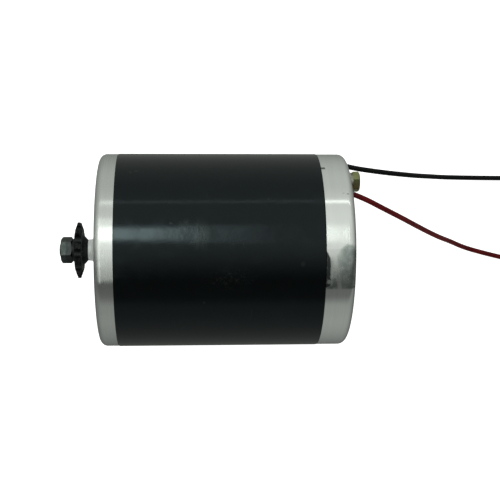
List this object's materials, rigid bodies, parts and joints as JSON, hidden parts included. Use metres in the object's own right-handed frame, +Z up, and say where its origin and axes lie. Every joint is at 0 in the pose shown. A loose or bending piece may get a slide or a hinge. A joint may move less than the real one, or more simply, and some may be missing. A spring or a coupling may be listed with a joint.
{
  "type": "electric motor",
  "caption": "Round brushed permanent-magnet DC motor with a black steel body, turned aluminium end caps, a chain sprocket on its shaft and two free leads.",
  "frame": {"origin": "on the surface the motor lies on, under the shaft axis, half way between the shaft's threaded end and the rear bolt heads", "axes": "-X points out of the shaft end along the shaft axis, +X towards the leads, +Z up; the shaft axis is 54 mm above the surface"},
  "size_m": [0.3058, 0.1103, 0.108],
  "materials": {
    "tube_paint": "satin black paint on steel tube",
    "cap_metal": "turned, fine circumferential lines",
    "zinc_yellow": "yellow zinc plated",
    "spring_steel": "plain spring steel",
    "black_oxide": "black oxide",
    "shaft_steel": "ground",
    "bearing_steel": "polished",
    "ferrite": "dark grey sintered ferrite",
    "lamination": "stacked electrical steel",
    "enamel_copper": "enamelled copper wire under varnish",
    "copper": "bare copper",
    "brass": "stamped brass",
    "insulator": "fibre board",
    "phenolic": "brown phenolic",
    "carbon": "carbon graphite",
    "rubber_black": "moulded rubber",
    "lead_black": "black wire insulation",
    "lead_red": "dark red wire insulation",
    "sleeve_red": "terminal sleeve",
    "sleeve_black": "terminal sleeve",
    "tinned": "tin plated copper",
    "nylon": "black nylon",
    "cage_steel": "pressed steel"
  },
  "bodies": {
    "stator": {"yoke_tube": "tube_paint", "front_cap": "cap_metal", "rear_cap": "cap_metal", "through_bolts": "zinc_yellow", "bolt_lock_washers": "zinc_yellow", "field_magnets": "ferrite", "magnet_clips": "spring_steel", "front_bearing_outer_ring": "bearing_steel", "front_bearing_shields": "cage_steel", "rear_bearing_outer_ring": "bearing_steel", "rear_bearing_shields": "cage_steel", "front_bearing_circlip": "spring_steel", "rear_preload_washer": "spring_steel", "brush_plate": "phenolic", "brush_plate_spacers": "phenolic", "brush_plate_screws": "zinc_yellow", "brush_boxes": "brass", "brush_jumpers": "lead_black", "lead_grommets": "rubber_black", "inner_leads": "lead_black", "black_lead": "lead_black", "black_lead_coil": "lead_black", "red_lead": "lead_red", "red_lead_coil": "lead_red", "coil_ties": "nylon", "black_terminal": "tinned", "red_terminal": "tinned", "black_terminal_sleeve": "sleeve_black", "red_terminal_sleeve": "sleeve_red", "brush_spring_1": "spring_steel", "brush_shunt_1": "copper", "brush_spring_2": "spring_steel", "brush_shunt_2": "copper", "brush_spring_3": "spring_steel", "brush_shunt_3": "copper", "brush_spring_4": "spring_steel", "brush_shunt_4": "copper"},
    "rotor": {"rotor_shaft": "shaft_steel", "lamination_stack": "lamination", "end_insulators": "insulator", "armature_winding": "enamel_copper", "slot_wedges": "insulator", "commutator_bars": "copper", "commutator_core": "phenolic", "front_shaft_spacer": "phenolic", "front_bearing_inner_ring": "bearing_steel", "rear_bearing_inner_ring": "bearing_steel", "drive_sprocket": "black_oxide", "sprocket_lock_washer": "black_oxide", "shaft_nut": "black_oxide"},
    "front_ball_set": {"front_bearing_balls": "bearing_steel", "front_bearing_cage": "cage_steel"},
    "rear_ball_set": {"rear_bearing_balls": "bearing_steel", "rear_bearing_cage": "cage_steel"},
    "brush_1": {"carbon_brush_1": "carbon"},
    "brush_2": {"carbon_brush_2": "carbon"},
    "brush_3": {"carbon_brush_3": "carbon"},
    "brush_4": {"carbon_brush_4": "carbon"}
  },
  "joints": [
    {"name": "rotor_spin", "type": "hinge", "parent": "stator", "child": "rotor", "pos_m": [0, 0, 0.054], "axis": [1, 0, 0], "continuous": true},
    {"name": "front_cage_spin", "type": "hinge", "parent": "stator", "child": "front_ball_set", "pos_m": [-0.051, 0, 0.054], "axis": [1, 0, 0], "continuous": true},
    {"name": "rear_cage_spin", "type": "hinge", "parent": "stator", "child": "rear_ball_set", "pos_m": [0.0683, 0, 0.054], "axis": [1, 0, 0], "continuous": true},
    {"name": "brush_1_slide", "type": "slide", "parent": "stator", "child": "brush_1", "axis": [0, 0.225, 0.9744], "range_m": [0, 0.003], "stiffness_N_per_m": 120, "springref_m": -0.002, "deforming": ["brush_spring_1", "brush_shunt_1"]},
    {"name": "brush_2_slide", "type": "slide", "parent": "stator", "child": "brush_2", "axis": [0, -0.9744, 0.225], "range_m": [0, 0.003], "stiffness_N_per_m": 120, "springref_m": -0.002, "deforming": ["brush_spring_2", "brush_shunt_2"]},
    {"name": "brush_3_slide", "type": "slide", "parent": "stator", "child": "brush_3", "axis": [0, -0.225, -0.9744], "range_m": [0, 0.003], "stiffness_N_per_m": 120, "springref_m": -0.002, "deforming": ["brush_spring_3", "brush_shunt_3"]},
    {"name": "brush_4_slide", "type": "slide", "parent": "stator", "child": "brush_4", "axis": [0, 0.9744, -0.225], "range_m": [0, 0.003], "stiffness_N_per_m": 120, "springref_m": -0.002, "deforming": ["brush_spring_4", "brush_shunt_4"]}
  ],
  "couplings": [
    {"joint": "front_cage_spin", "follows": "rotor_spin", "ratio": 0.3647},
    {"joint": "rear_cage_spin", "follows": "rotor_spin", "ratio": 0.381}
  ]
}
